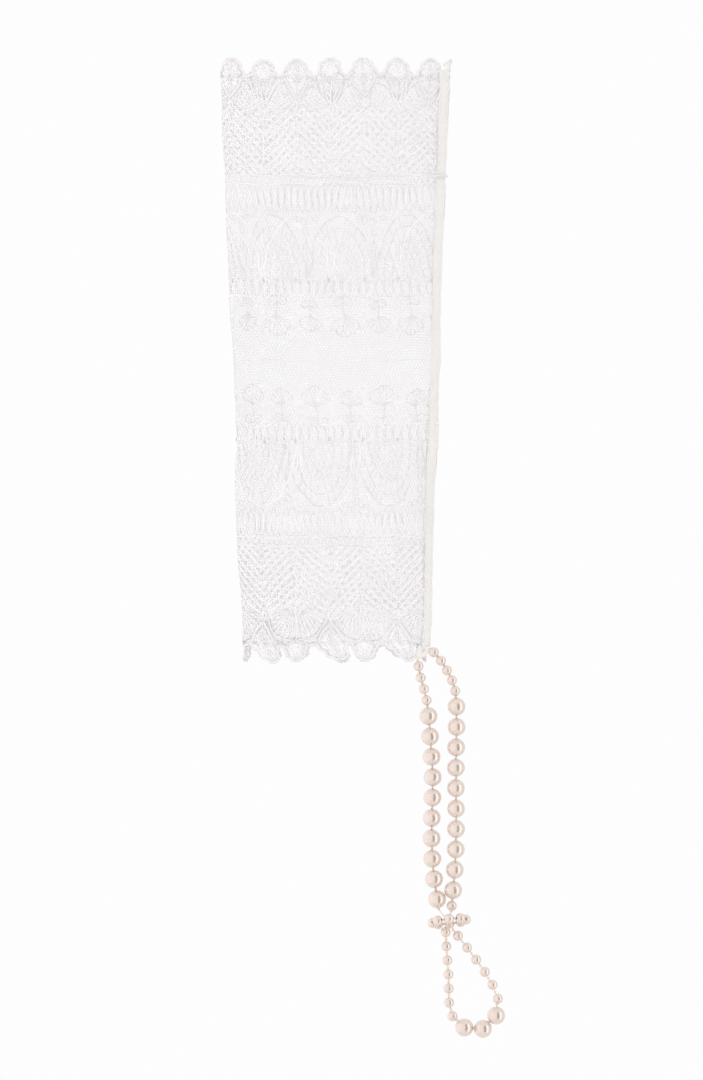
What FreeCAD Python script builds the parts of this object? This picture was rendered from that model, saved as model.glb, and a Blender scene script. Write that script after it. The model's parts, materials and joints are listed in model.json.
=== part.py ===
"""A lace wedding glove with a pearl finger loop: a fingerless lace sleeve, its seam tape, and a
hand drop of knotted pearls that ends in a loop for the middle finger.

Frame: +Z runs up the forearm, +X towards the seam, -Y out of the front of the sleeve. The origin
is the centre of the hand opening. Lengths are millimetres and angles are degrees.
"""

import os

import FreeCAD
import Part
from math import cos, radians, sin, sqrt

Vector = FreeCAD.Vector

# ---- sleeve: a lace tube pressed to an oval, tapering to the hand end
BODY_LENGTH = 225.0          # hand opening to arm opening, between the scallop valleys
HAND_HALF_WIDTH = 37.1
ARM_HALF_WIDTH = 45.6
HAND_HALF_DEPTH = 9.0
ARM_HALF_DEPTH = 11.0
LACE_THICKNESS = 1.0
HAND_VALLEY = 2.5            # height of the valley line at the hand end
SCALLOP_HEIGHT = 6.2
SCALLOP_WIDTH = 7.4
SCALLOP_PITCH = 13.0         # the lace is cut, not stretched, so this is the same at both ends
SCALLOP_START = -1.2         # x of the scallop nearest the centre
SCALLOPS_EACH_SIDE = 3
SEAM_CLEAR = 8.0             # width at the seam corner left without scallops
CUT_MARGIN = 8.0             # how far the uncut tube runs past the scallops

# ---- seam tape, on the front close to the seam fold
TAPE_THICKNESS = 0.7
SKIN_GAP = 0.05              # air between two layers of cloth
TAPE_HAND_X = (33.9, 36.7)
TAPE_ARM_X = (40.8, 44.1)
TAPE_TOP = BODY_LENGTH + 2.0
STITCH_PITCH = 3.2
STITCH_LENGTH = 2.0
STITCH_RADIUS = 0.14
BAR_TACK_Z = 185.5           # a bar of dense stitches across the tape
BAR_TACK_X = (35.2, 43.2)
BAR_TACK_HEIGHT = 1.3
BAR_TACK_THICKNESS = 0.35

# ---- tab: the folded end of the tape, which turns on its top stitches and carries the cord
DROP_Y = -3.0                # the plane that the pearls hang in
TAB_PIVOT = (34.2, 0.8)
TAB_TOP_RADIUS = 1.5
TAB_THICKNESS = 1.1
TAB_OUTLINE = [(31.5, 0.6), (36.1, 1.6), (36.1, -0.4), (33.6, -2.5), (31.2, -2.5)]
TAB_BORE_RADIUS = 0.35
TAB_CORD_BENDS = [(32.3, -1.3), (34.9, 0.9)]
TACK_RADIUS = 0.16
TACK_LENGTH = 1.5
TACK_PITCH = 0.45
TACKS = 4

# ---- pearls and cord
LARGE = 7.0
SMALL = 4.0
LARGE_GAP = 0.95
LEFT_SMALL_GAP = 0.55
RIGHT_SMALL_GAP = 0.35
LOOP_LARGE_GAP = 1.0
LOOP_FIRST_GAP = 1.5
LOOP_LAST_GAP = 1.85
HOLE_RADIUS = 0.45
CORD_RADIUS = 0.25
SMALLEST_KNOT = 0.32         # its edge sits in the mouths of the pearls beside it
KNOT_PLAY = 0.04             # air between a knot and the pearls beside it
LEFT_SMALLS = 4
RIGHT_SMALLS = 5
STRAND_LARGES = 10
LOOP_FIRST_SMALLS = 7
LOOP_LARGES = 3
LOOP_LAST_SMALLS = 6

# ---- keeper ring: eight small pearls round both cords
RING_CENTRE = (44.3, -104.9)
RING_LINK = 4.75
RING_DIAGONAL = 30.0
RING_ROLL = -6.0             # turn about the Y axis
RING_PITCH = -14.0           # turn about the X axis, which lifts the front pearls
RING_THREAD_RADIUS = 0.2
RING_THREAD_SHARE = 0.8      # the thread's end stops short of its start inside the last pearl
JOINING_KNOT = (43.7, -104.6)
JOINING_KNOT_RADIUS = 0.95

# Centre lines, as (x, z). Each runs from its top knot to its last one.
LEFT_LINE = [(32.1, -3.25), (32.9, -9.0), (34.6, -15.0), (35.9, -20.5), (36.6, -30.0), (37.9, -47.0),
             (37.5, -64.0), (37.5, -76.0), (38.1, -86.0), (39.3, -95.0), (40.5, -101.0)]
RIGHT_LINE = [(36.75, 1.35), (39.95, -1.6), (43.3, -6.9), (45.6, -11.2), (47.0, -16.9), (47.2, -28.0),
              (46.9, -52.0), (46.9, -76.0), (46.3, -88.0), (45.4, -97.5), (45.0, -102.5)]
LOOP_LINE = [(42.9, -106.4), (43.3, -117.2), (44.15, -128.1), (44.5, -139.4), (46.7, -144.4),
             (54.1, -148.2), (61.5, -145.1), (64.0, -137.6), (62.6, -132.4), (57.0, -122.8),
             (49.6, -113.0), (45.2, -107.2)]


def at(point, y=DROP_Y):
    """A 3-D point from an (x, z) pair."""
    return Vector(point[0], y, point[1])


def half_width(z):
    return HAND_HALF_WIDTH + (ARM_HALF_WIDTH - HAND_HALF_WIDTH) * z / BODY_LENGTH


def half_depth(z):
    return HAND_HALF_DEPTH + (ARM_HALF_DEPTH - HAND_HALF_DEPTH) * z / BODY_LENGTH


def oval_wire(z, offset):
    """The sleeve's oval at height z, grown by offset."""
    oval = Part.Ellipse(Vector(0, 0, z), half_width(z) + offset, half_depth(z) + offset)
    return Part.Wire([oval.toShape()])


def oval_solid(offset):
    """The space inside the sleeve's skin, grown by offset, from past one end to past the other."""
    low, high = -CUT_MARGIN, BODY_LENGTH + CUT_MARGIN
    return Part.makeLoft([oval_wire(low, offset), oval_wire(high, offset)], True, True)


def skin(inner, outer):
    """A layer of the sleeve's skin between two offsets."""
    return oval_solid(outer).cut(oval_solid(inner))


def scalloped_edge(valley, direction):
    """Edges of one scalloped end, from the folded side to the seam side. direction is 1 at the arm."""
    half = half_width(valley) + CUT_MARGIN
    reach = SCALLOP_WIDTH / 2
    seam_corner = half_width(valley) - (SEAM_CLEAR if direction < 0 else 0.0)
    edges = []
    here = Vector(-half, 0, valley)
    for k in range(-SCALLOPS_EACH_SIDE, SCALLOPS_EACH_SIDE + 1):
        middle = SCALLOP_START + k * SCALLOP_PITCH
        if middle - reach < -half_width(valley) or middle + reach > seam_corner:
            continue
        start = Vector(middle - reach, 0, valley)
        crest = Vector(middle, 0, valley + direction * SCALLOP_HEIGHT)
        end = Vector(middle + reach, 0, valley)
        edges.append(Part.makeLine(here, start))
        edges.append(Part.Arc(start, crest, end).toShape())
        here = end
    edges.append(Part.makeLine(here, Vector(half, 0, valley)))
    return edges


def prism(edges):
    """A closed outline in the XZ plane, pushed through both faces of the sleeve."""
    depth = 2 * (ARM_HALF_DEPTH + CUT_MARGIN)
    face = Part.Face(Part.Wire(Part.sortEdges(edges)[0]))
    face.translate(Vector(0, -depth / 2, 0))
    return face.extrude(Vector(0, depth, 0))


def front_prism(points):
    """A straight-sided outline in the XZ plane, pushed through the front face only."""
    corners = [Vector(x, 0, z) for x, z in points]
    depth = ARM_HALF_DEPTH + CUT_MARGIN
    return Part.Face(Part.makePolygon(corners + corners[:1])).extrude(Vector(0, -depth, 0))


def lace_sleeve():
    hand = scalloped_edge(HAND_VALLEY, -1)
    arm = scalloped_edge(BODY_LENGTH, 1)
    sides = []
    for end in (0, -1):
        low = hand[end].Vertexes[end].Point
        high = arm[end].Vertexes[end].Point
        sides.append(Part.makeLine(low, high))
    return skin(-LACE_THICKNESS, 0.0).common(prism(hand + arm + sides))


def tape_x(z):
    """The tape's two edges at height z."""
    share = (z - HAND_VALLEY) / (TAPE_TOP - HAND_VALLEY)
    return [low + (high - low) * share for low, high in zip(TAPE_HAND_X, TAPE_ARM_X)]


def seam_tape():
    outline = [(TAPE_HAND_X[0], HAND_VALLEY), (TAPE_HAND_X[1], HAND_VALLEY),
               (TAPE_ARM_X[1], TAPE_TOP), (TAPE_ARM_X[0], TAPE_TOP)]
    return skin(SKIN_GAP, SKIN_GAP + TAPE_THICKNESS).common(front_prism(outline))


def on_front(x, z, offset):
    """The point of the front skin at (x, z), offset outwards."""
    width, depth = half_width(z) + offset, half_depth(z) + offset
    return Vector(x, -depth * sqrt(1 - (x / width) ** 2), z)


def seam_stitching():
    """A row of running stitches down the middle of the tape."""
    lift = 2 * SKIN_GAP + TAPE_THICKNESS + STITCH_RADIUS
    stitches = []
    z = HAND_VALLEY + STITCH_PITCH
    while z + STITCH_LENGTH < TAPE_TOP - STITCH_PITCH:
        start = on_front(sum(tape_x(z)) / 2, z, lift)
        end = on_front(sum(tape_x(z + STITCH_LENGTH)) / 2, z + STITCH_LENGTH, lift)
        if abs(z + STITCH_LENGTH / 2 - BAR_TACK_Z) > STITCH_PITCH:
            stitches.append(rod(start, end, STITCH_RADIUS))
        z += STITCH_PITCH
    return Part.makeCompound(stitches)


def rod(start, end, radius):
    return Part.makeCylinder(radius, (end - start).Length, start, end - start)


def tab_cord_path(left_top, right_top):
    """The cord's way through the tab, from the left strand's top knot to the right strand's."""
    return [left_top] + [at(bend) for bend in TAB_CORD_BENDS] + [right_top]


def anchor_tab(cord_path):
    """A flat folded tab with a round top, and a channel that the cord runs through."""
    back = Vector(0, -TAB_THICKNESS / 2, 0)
    through = Vector(0, TAB_THICKNESS, 0)
    corners = [at(point) + back for point in TAB_OUTLINE]
    web = Part.Face(Part.makePolygon(corners + corners[:1])).extrude(through)
    top = Part.makeCylinder(TAB_TOP_RADIUS, TAB_THICKNESS, at(TAB_PIVOT) + back, through)
    bore = [rod(a, b, TAB_BORE_RADIUS) for a, b in zip(cord_path, cord_path[1:])]
    bore += [Part.makeSphere(TAB_BORE_RADIUS, bend) for bend in cord_path[1:-1]]
    return web.fuse(top).removeSplitter().cut(bore[0].multiFuse(bore[1:]))


def tab_tacks():
    """A row of tack stitches on the front of the tab's round top, where it turns."""
    tacks = []
    front = DROP_Y - TAB_THICKNESS / 2 - KNOT_PLAY - TACK_RADIUS
    for k in range(TACKS):
        z = TAB_PIVOT[1] + (k - (TACKS - 1) / 2) * TACK_PITCH
        start = Vector(TAB_PIVOT[0] - TACK_LENGTH / 2, front, z)
        tacks.append(rod(start, start + Vector(TACK_LENGTH, 0, 0), TACK_RADIUS))
    return Part.makeCompound(tacks)


def bar_tack():
    """A dense bar of stitches across the tape and the lace beside it."""
    low, high = BAR_TACK_Z - BAR_TACK_HEIGHT / 2, BAR_TACK_Z + BAR_TACK_HEIGHT / 2
    start, end = BAR_TACK_X
    outline = [(start, low), (end, low), (end, high), (start, high)]
    outer = SKIN_GAP + TAPE_THICKNESS + SKIN_GAP
    return skin(outer, outer + BAR_TACK_THICKNESS).common(front_prism(outline))


def centre_line(points):
    curve = Part.BSplineCurve()
    curve.interpolate([at(p) for p in points])
    return curve


def string_on(points, lengths):
    """Knot points along a centre line, each one link length from the last."""
    curve = centre_line(points)
    here = curve.FirstParameter
    knots = [curve.value(here)]
    for length in lengths:
        low, high = here, curve.LastParameter
        step = (high - low) / 400
        probe = low
        while (curve.value(probe) - knots[-1]).Length < length:
            probe += step
        low, high = probe - step, probe
        for _ in range(40):
            middle = (low + high) / 2
            if (curve.value(middle) - knots[-1]).Length < length:
                low = middle
            else:
                high = middle
        here = high
        knots.append(curve.value(here))
    return knots


def pearl(start, end, diameter):
    """A drilled pearl, centred between two knots with its hole on the line through them."""
    radius = diameter / 2
    mouth = sqrt(radius ** 2 - HOLE_RADIUS ** 2)
    low = Vector(HOLE_RADIUS, 0, -mouth)
    high = Vector(HOLE_RADIUS, 0, mouth)
    skin_arc = Part.Arc(low, Vector(radius, 0, 0), high).toShape()
    outline = Part.Wire([skin_arc, Part.makeLine(high, low)])
    solid = Part.Face(outline).revolve(Vector(0, 0, 0), Vector(0, 0, 1), 360)
    turn = FreeCAD.Rotation(Vector(0, 0, 1), end - start)
    solid.Placement = FreeCAD.Placement((start + end) / 2, turn)
    return solid


def thread(path, radius, knots):
    """A round thread along a path. knots holds the (point, radius) of each knot on it."""
    solid = rod(path[0], path[1], radius)
    beads = dict((tuple(point), size) for point, size in knots)
    for a, b in zip(path[1:], path[2:]):
        solid = solid.fuse(Part.makeSphere(beads.get(tuple(a), radius), a))
        solid = solid.fuse(rod(a, b, radius))
    return solid


def cord(knots, gaps, path):
    """A cord along a path, with a knot in each of the gaps."""
    sizes = [max(SMALLEST_KNOT, gap / 2 - KNOT_PLAY) for gap in gaps]
    return thread(path, CORD_RADIUS, list(zip(knots, sizes)))


def knot_gaps(gaps):
    """The free space at each knot of a string, from the gap that each pearl brings."""
    inner = [min(a, b) for a, b in zip(gaps, gaps[1:])]
    return [gaps[0]] + inner + [gaps[-1]]


def stop_short(start, end, radius):
    """The point where a cord from start meets a ball of this radius round end."""
    return end + (start - end).normalize() * (radius + KNOT_PLAY)


def to_joining_knot(start):
    return stop_short(start, at(JOINING_KNOT), JOINING_KNOT_RADIUS)


def keeper_ring():
    """Eight pearls and their thread, as an eight-sided loop round both cords."""
    turn = radians(RING_DIAGONAL)
    half = RING_LINK / 2
    wide = half + RING_LINK * cos(turn)
    deep = half + RING_LINK * sin(turn)
    quarter = [(half, -deep), (wide, -half)]
    corners = quarter + [(x, -y) for x, y in reversed(quarter)]
    corners += [(-x, -y) for x, y in corners]
    roll = FreeCAD.Rotation(Vector(0, 1, 0), RING_ROLL)
    pitch = FreeCAD.Rotation(Vector(1, 0, 0), RING_PITCH)
    tilt = roll.multiply(pitch)
    knots = [at(RING_CENTRE) + tilt.multVec(Vector(x, y, 0)) for x, y in corners]
    sides = list(zip(knots, knots[1:] + knots[:1]))
    pearls = [pearl(a, b, SMALL) for a, b in sides]
    start = (knots[0] + knots[-1]) / 2
    last = knots[-1] + (start - knots[-1]) * RING_THREAD_SHARE
    ring_knots = [(k, SMALLEST_KNOT) for k in knots]
    ring_thread = thread([start] + knots + [last], RING_THREAD_RADIUS, ring_knots)
    return Part.makeCompound(pearls), ring_thread


def pearl_nodes(name, knots, diameters):
    """One node for each pearl of a string, numbered from its top."""
    ends = zip(knots, knots[1:], diameters)
    return {f"{name}_pearl_{k:02d}": pearl(a, b, d) for k, (a, b, d) in enumerate(ends, 1)}


def drop_strings():
    """The two strands. One cord runs up the left, through the tab and down the right."""
    left_sizes = [SMALL] * LEFT_SMALLS + [LARGE] * STRAND_LARGES
    left_gaps = [LEFT_SMALL_GAP] * LEFT_SMALLS + [LARGE_GAP] * STRAND_LARGES
    left = string_on(LEFT_LINE, [d + g for d, g in zip(left_sizes, left_gaps)])
    right_sizes = [SMALL] * RIGHT_SMALLS + [LARGE] * STRAND_LARGES + [SMALL]
    right_gaps = [RIGHT_SMALL_GAP] * RIGHT_SMALLS + [LARGE_GAP] * STRAND_LARGES + [RIGHT_SMALL_GAP]
    right = string_on(RIGHT_LINE, [d + g for d, g in zip(right_sizes, right_gaps)])
    through_tab = tab_cord_path(left[0], right[0])
    path = [to_joining_knot(left[-1])] + left[::-1] + through_tab[1:-1]
    path += right + [to_joining_knot(right[-1])]
    knots = left[::-1] + right
    gaps = knot_gaps(left_gaps)[::-1] + knot_gaps(right_gaps)
    nodes = {"anchor_tab": anchor_tab(through_tab)}
    nodes["strand_cord"] = cord(knots, gaps, path)
    nodes.update(pearl_nodes("left", left, left_sizes))
    nodes.update(pearl_nodes("right", right, right_sizes))
    return nodes


def finger_loop():
    sizes = [SMALL] * LOOP_FIRST_SMALLS + [LARGE] * LOOP_LARGES + [SMALL] * LOOP_LAST_SMALLS
    gaps = [LOOP_FIRST_GAP] * LOOP_FIRST_SMALLS + [LOOP_LARGE_GAP] * LOOP_LARGES
    gaps += [LOOP_LAST_GAP] * LOOP_LAST_SMALLS
    knots = string_on(LOOP_LINE, [d + g for d, g in zip(sizes, gaps)])
    path = [to_joining_knot(knots[0])] + knots + [to_joining_knot(knots[-1])]
    nodes = {"loop_cord": cord(knots, knot_gaps(gaps), path)}
    nodes.update(pearl_nodes("loop", knots, sizes))
    return nodes


def all_nodes():
    ring_pearls, ring_thread = keeper_ring()
    nodes = {
        "lace_sleeve": lace_sleeve(),
        "seam_tape": seam_tape(),
        "seam_stitching": seam_stitching(),
        "bar_tack": bar_tack(),
        "tab_tacks": tab_tacks(),
        "keeper_ring_pearls": ring_pearls,
        "keeper_ring_thread": ring_thread,
        "joining_knot": Part.makeSphere(JOINING_KNOT_RADIUS, at(JOINING_KNOT)),
    }
    nodes.update(drop_strings())
    nodes.update(finger_loop())
    return nodes


def main():
    os.makedirs("parts", exist_ok=True)
    for name, shape in all_nodes().items():
        shape.exportStep(f"parts/{name}.step")


main()
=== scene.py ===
"""Looks for the lace wedding glove: guipure lace sleeve, satin seam tape, and a drop of knotted pearls.

Everything is worked out in millimetres and written to Blender in metres. The lace is drawn as threads on
a flat pattern (s runs round the sleeve, z up it) that is then wrapped on the sleeve's oval.
"""

import json
import math

import bpy
import numpy as np
from mathutils import Matrix, Vector


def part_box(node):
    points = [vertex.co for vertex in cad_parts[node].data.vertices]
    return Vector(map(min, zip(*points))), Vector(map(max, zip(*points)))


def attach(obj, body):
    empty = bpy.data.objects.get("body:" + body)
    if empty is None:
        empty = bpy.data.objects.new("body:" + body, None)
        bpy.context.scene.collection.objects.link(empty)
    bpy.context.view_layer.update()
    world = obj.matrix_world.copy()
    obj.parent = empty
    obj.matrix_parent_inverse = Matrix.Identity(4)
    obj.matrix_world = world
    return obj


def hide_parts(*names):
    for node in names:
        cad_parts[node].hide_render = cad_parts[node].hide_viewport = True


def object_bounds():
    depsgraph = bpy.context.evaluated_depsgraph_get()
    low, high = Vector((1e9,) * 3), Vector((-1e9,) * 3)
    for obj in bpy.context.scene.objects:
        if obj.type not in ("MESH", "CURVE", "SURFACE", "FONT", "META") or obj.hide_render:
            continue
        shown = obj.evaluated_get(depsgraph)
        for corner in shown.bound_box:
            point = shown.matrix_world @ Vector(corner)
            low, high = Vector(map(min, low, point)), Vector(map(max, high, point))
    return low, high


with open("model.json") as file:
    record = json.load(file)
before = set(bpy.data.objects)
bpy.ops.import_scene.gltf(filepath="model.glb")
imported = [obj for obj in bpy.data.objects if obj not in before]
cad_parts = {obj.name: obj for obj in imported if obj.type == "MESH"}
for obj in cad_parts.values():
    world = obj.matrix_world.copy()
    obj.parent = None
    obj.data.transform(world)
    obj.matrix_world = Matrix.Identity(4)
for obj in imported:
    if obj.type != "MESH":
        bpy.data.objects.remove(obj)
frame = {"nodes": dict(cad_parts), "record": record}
CAD_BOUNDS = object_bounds()

MM = 0.001
RECORD = frame["record"]
BODY_OF = {node: body for body, nodes in RECORD["behaviour"]["bodies"].items() for node in nodes}

# ---- lace pattern, in millimetres
HALF_REPEAT = 13.25          # from a diamond bud to the fan bud beside it
REPEAT = 2 * HALF_REPEAT
PATTERN_START = -15.3        # s of a diamond bud at the arm end, on the front
BUD_HALF_WIDTH = 3.7
BUD_HEIGHT = 6.2
V_DEPTH = 9.4                # apex of the outline under a diamond bud
V_REACH = 5.2
HAND_LEAN = 4.0              # how far the diamond buds at the hand end lean towards the seam
SEAM_CLEAR = 4.5             # no buds this near the seam at the hand end
FAN_BASE = 15.0              # where the ribs of a fan come together
SCALE_PITCH = 3.3            # between the slanting rows of scales
SCALE_SLOPE = 0.92
BAND_TOP = 39.0
BAND_BOTTOM = 42.4
OVAL_END = 53.2
ARCH_FOOT = 80.0
TULLE_PITCH = 1.25
TULLE_BANDS = 4
STEP = 0.8                   # spacing of points along a thread
LOBE_BULGE = 0.28            # height of a scallop over its length
SMALL_PALMETTE = 0.8         # size of the palmettes on the fans' axes over the others
SETTLE_LENGTH = 25.0         # over which the pattern on the back slides into place, past the fold

# half widths of the threads
OUTLINE = 0.55
RIB = 0.30
THREAD = 0.24
FINE = 0.15
TULLE = 0.085
FLATNESS = 0.62              # thickness of a thread over its width
LACE_MIDDLE = -0.5           # offset of the threads' middle from the sleeve's outer skin
CORD_LIFT = 0.12             # how far the raised cord stands out from the fine threads
NET_LIFT = -0.1              # the net lies behind them

# ---- readings of the frame
SLEEVE_END = 9.0             # a little more than a bud's height, to reach the sleeve's full width
TAPE_END = 3.0
MIDDLE_Z = 100.0             # any height on the sleeve
ARC_SAMPLES = 8001

# ---- cord and pearls
CORD_RADIUS = 0.24
KNOT_TUBE = 0.15
HOLE_RADIUS = 0.45
LARGE_PEARL = 7.0
SMALL_PEARL = 4.0
TAIL_KNOT = 0.5              # sizes of the knots
STRAND_KNOT = 0.52
LOOP_KNOT = 0.62
KEEPER_KNOT = 0.42
JOINING_KNOT = 0.92
KEEPER_CORD_RADIUS = 0.2

# ---- sides of the thin tubes
ROUND_SIDES = 6
NET_SIDES = 4


# ==== frame readings, in millimetres

def node_points(node):
    mesh = frame["nodes"][node].data
    co = np.empty(len(mesh.vertices) * 3)
    mesh.vertices.foreach_get("co", co)
    return co.reshape(-1, 3) / MM


def end_spans(node, axis, depth):
    """((z, low, high) at the node's low end, the same at its high end) along an axis, to that depth."""
    pts = node_points(node)
    spans = []
    for end in (pts[:, 2].min(), pts[:, 2].max()):
        near = pts[abs(pts[:, 2] - end) < depth]
        far = near[np.argmax(abs(near[:, axis]))]
        spans.append((far[2], near[:, axis].min(), near[:, axis].max()))
    return spans


def node_centre(node):
    low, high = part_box(node)
    return (low + high) / 2 / MM


def node_size(node):
    low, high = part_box(node)
    return (high - low) / MM


def box_arrays(node):
    low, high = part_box(node)
    return np.array(low) / MM, np.array(high) / MM


SLEEVE_POINTS = node_points("lace_sleeve")
WIDTH_ENDS = end_spans("lace_sleeve", 0, SLEEVE_END)
DEPTH_ENDS = end_spans("lace_sleeve", 1, SLEEVE_END)
HAND_TIP = SLEEVE_POINTS[:, 2].min()
ARM_TIP = SLEEVE_POINTS[:, 2].max()
HAND_VALLEY = HAND_TIP + BUD_HEIGHT
ARM_VALLEY = ARM_TIP - BUD_HEIGHT


def between(z, ends):
    (z0, _, v0), (z1, _, v1) = ends
    return v0 + (v1 - v0) * (z - z0) / (z1 - z0)


def half_width(z):
    return between(z, WIDTH_ENDS)


def half_depth(z):
    return between(z, DEPTH_ENDS)


# The sleeve's oval keeps nearly the same proportions all the way, so one table of arc length serves.
ANGLES = np.linspace(-2 * math.pi, 2 * math.pi, ARC_SAMPLES)
RATIO = half_depth(MIDDLE_Z) / half_width(MIDDLE_Z)
SPEED = np.sqrt(np.cos(ANGLES) ** 2 + (RATIO * np.sin(ANGLES)) ** 2)
ARCS = np.concatenate([[0], np.cumsum((SPEED[1:] + SPEED[:-1]) / 2 * np.diff(ANGLES))])
ARCS -= np.interp(0.0, ANGLES, ARCS)
TURN = np.interp(2 * math.pi, ANGLES, ARCS)


def wave(s, z, along, around, phase=0.0):
    """A sine over the sleeve. along and around are its radians per millimetre up and round it."""
    return np.sin(z * along + s * around + phase)


def sag(s, z):
    """Soft unevenness of the lace, outwards in millimetres, calmer near both ends."""
    fade_length, end_share, inwards = 30, 0.35, 0.45
    middle = (np.clip((z - HAND_VALLEY) / fade_length, 0, 1)
              * np.clip((ARM_VALLEY - z) / fade_length, 0, 1))
    slow = 0.55 * wave(s, z, 0.043, 0.021, 0.7) + 0.35 * wave(s, z, 0.071, -0.047, 2.1)
    fast = 0.14 * np.sin(z * 0.19 + 1.3 * np.sin(s * 0.11)) + 0.12 * wave(s, z, 0.05, 0.23)
    return slow * (end_share + (1 - end_share) * middle) + fast - inwards


def wrap(s, z, offset):
    """Points and outward normals of the sleeve's skin at pattern position (s, z)."""
    width, depth = half_width(z), half_depth(z)
    angle = np.interp(s / width, ARCS, ANGLES)
    x, y = width * np.sin(angle), -depth * np.cos(angle)
    nx, ny = np.sin(angle) / width, -np.cos(angle) / depth
    size = np.sqrt(nx ** 2 + ny ** 2)
    normal = np.stack([nx / size, ny / size, np.zeros_like(nx)], -1)
    points = np.stack([x, y, z], -1)
    return points + normal * np.asarray(offset)[..., None], normal


def arc_at(x, z):
    """s of the front skin's point at x."""
    width = half_width(z)
    return np.interp(np.arcsin(np.clip(x / width, -1, 1)), ANGLES, ARCS) * width


# ==== mesh building

def add_object(name, data):
    obj = bpy.data.objects.new(name, data)
    bpy.context.scene.collection.objects.link(obj)
    return obj


def make_mesh(name, verts, faces, material):
    """A mesh object from arrays in millimetres. faces is a list of (n, k) index arrays."""
    mesh = bpy.data.meshes.new(name)
    verts = np.asarray(verts, np.float32) * MM
    mesh.vertices.add(len(verts))
    mesh.vertices.foreach_set("co", verts.ravel())
    loops = np.concatenate([np.asarray(f, np.int32).ravel() for f in faces])
    sizes = np.concatenate([np.full(len(f), np.asarray(f).shape[1], np.int32) for f in faces])
    starts = np.concatenate([[0], np.cumsum(sizes)[:-1]]).astype(np.int32)
    mesh.loops.add(len(loops))
    mesh.loops.foreach_set("vertex_index", loops)
    mesh.polygons.add(len(sizes))
    mesh.polygons.foreach_set("loop_start", starts)
    mesh.polygons.foreach_set("loop_total", sizes)
    mesh.polygons.foreach_set("use_smooth", np.full(len(sizes), True))
    mesh.update(calc_edges=True)
    mesh.validate()
    mesh.materials.append(material)
    return add_object(name, mesh)


def grid_faces(rows, cols, close_rows=False, close_cols=True):
    """Quads between the verts of a grid, which may close on itself either way."""
    i = np.arange(rows if close_rows else rows - 1)[:, None]
    j = np.arange(cols if close_cols else cols - 1)
    here, below, right = i * cols, (i + 1) % rows * cols, (j + 1) % cols
    return np.stack([here + j, here + right, below + right, below + j], -1).reshape(-1, 4)


def sweep(points, normals, width, thick, sides, closed):
    """Verts, quads and end caps of a flattened tube along one path."""
    count = len(points)
    if closed:
        tangent = np.roll(points, -1, 0) - np.roll(points, 1, 0)
    else:
        tangent = np.gradient(points, axis=0)
    tangent /= np.linalg.norm(tangent, axis=1)[:, None] + 1e-9
    side = np.cross(tangent, normals)
    side /= np.linalg.norm(side, axis=1)[:, None] + 1e-9
    up = np.cross(side, tangent)
    turn = np.arange(sides) * 2 * math.pi / sides
    verts = (points[:, None] + (width * np.cos(turn))[:, None] * side[:, None]
             + (thick * np.sin(turn))[:, None] * up[:, None]).reshape(-1, 3)
    caps = None
    if not closed:
        ring = np.arange(sides)
        caps = np.array([ring[::-1], (count - 1) * sides + ring])
    return verts, grid_faces(count, sides, closed), caps


class Threads:
    """Collects tubes of one kind and makes them one mesh."""

    def __init__(self, sides=ROUND_SIDES):
        self.sides = sides
        self.verts, self.quads, self.caps, self.count = [], [], [], 0

    def add(self, points, normals, width, thick, closed=False):
        verts, quads, caps = sweep(points, normals, width, thick, self.sides, closed)
        self.verts.append(verts)
        self.quads.append(quads + self.count)
        if caps is not None:
            self.caps.append(caps + self.count)
        self.count += len(verts)

    def build(self, name, material):
        faces = [np.concatenate(self.quads)]
        if self.caps:
            faces.append(np.concatenate(self.caps))
        return make_mesh(name, np.concatenate(self.verts), faces, material)


# ==== flat lace pattern
# A curve is (points, half width, closed). Points are (r, d): r from a diamond bud's axis, d in from
# the valley line of the lace's edge.

def smooth(points, step=STEP, closed=False):
    """Points about one step apart on a Catmull-Rom curve through the given ones."""
    pts = np.asarray(points, float)
    if len(pts) == 2:
        count = max(2, int(np.linalg.norm(pts[1] - pts[0]) / step) + 1)
        return pts[0] + (pts[1] - pts[0]) * np.linspace(0, 1, count)[:, None]
    if closed:
        ring = np.concatenate([pts[-1:], pts, pts[:2]])
    else:
        ring = np.concatenate([2 * pts[:1] - pts[1:2], pts, 2 * pts[-1:] - pts[-2:-1]])
    out = []
    for p0, p1, p2, p3 in zip(ring, ring[1:], ring[2:], ring[3:]):
        count = max(1, int(round(np.linalg.norm(p2 - p1) / step)))
        t = (np.arange(count) / count)[:, None]
        out.append(0.5 * (2 * p1 + (p2 - p0) * t + (2 * p0 - 5 * p1 + 4 * p2 - p3) * t ** 2
                          + (3 * p1 - p0 - 3 * p2 + p3) * t ** 3))
    if not closed:
        out.append(pts[-1:])
    return np.concatenate(out)


def arc(r, d, reach_r, reach_d, start, end, count=9):
    turn = np.radians(np.linspace(start, end, count))
    return [(r + reach_r * math.cos(t), d + reach_d * math.sin(t)) for t in turn]


def ring(r, d, reach_r, reach_d, width, count=10):
    turn = np.arange(count) * 2 * math.pi / count
    return ([(r + reach_r * math.cos(t), d + reach_d * math.sin(t)) for t in turn], width, True)


def lobes(points):
    """A scalloped line: a small outward arc between each point and the next, on its left side."""
    out = [points[0]]
    for (r0, d0), (r1, d1) in zip(points, points[1:]):
        across, down = r1 - r0, d1 - d0
        for t in (0.25, 0.5, 0.75):
            push = LOBE_BULGE * 4 * t * (1 - t)
            out.append((r0 + across * t - down * push, d0 + down * t + across * push))
        out.append((r1, d1))
    return out


def on_curve(points, share):
    fine = smooth(points, 0.3)
    return fine[int(share * (len(fine) - 1))]


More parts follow.
